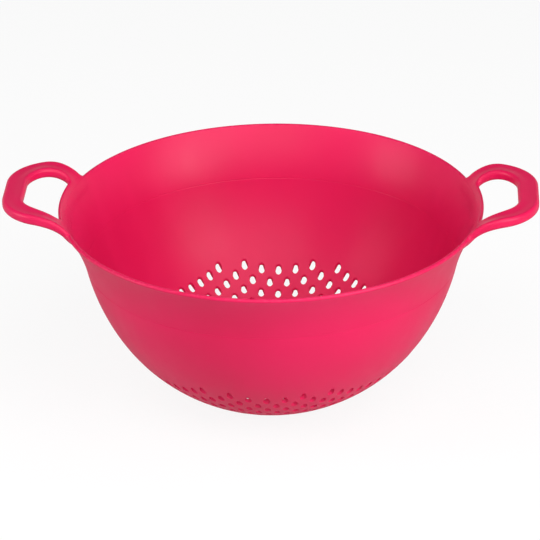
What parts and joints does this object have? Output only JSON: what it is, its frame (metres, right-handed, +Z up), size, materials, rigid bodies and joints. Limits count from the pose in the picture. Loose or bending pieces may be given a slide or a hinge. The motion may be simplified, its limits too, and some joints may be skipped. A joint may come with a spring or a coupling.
{
  "type": "colander",
  "caption": "Deep round plastic colander with a drilled lower bowl, a low foot ring, a rounded lip and raised loop handles on opposite sides.",
  "frame": {"origin": "on the table, under the middle of the bowl, in the plane of the foot ring's lower face", "axes": "+Z up along the bowl's axis, +X out through the right handle, +Y away from the viewer"},
  "size_m": [0.3064, 0.2408, 0.1312],
  "materials": {
    "bowl_plastic": "smooth moulded plastic with a soft gloss, raspberry red",
    "handle_plastic": "the same smooth moulded plastic as the bowl"
  },
  "bodies": {
    "root": {"lip": "bowl_plastic", "collar": "bowl_plastic", "bowl_side": "bowl_plastic", "strainer_wall": "bowl_plastic", "base_plate": "bowl_plastic", "foot_ring": "bowl_plastic", "left_handle": "handle_plastic", "right_handle": "handle_plastic"}
  },
  "joints": []
}
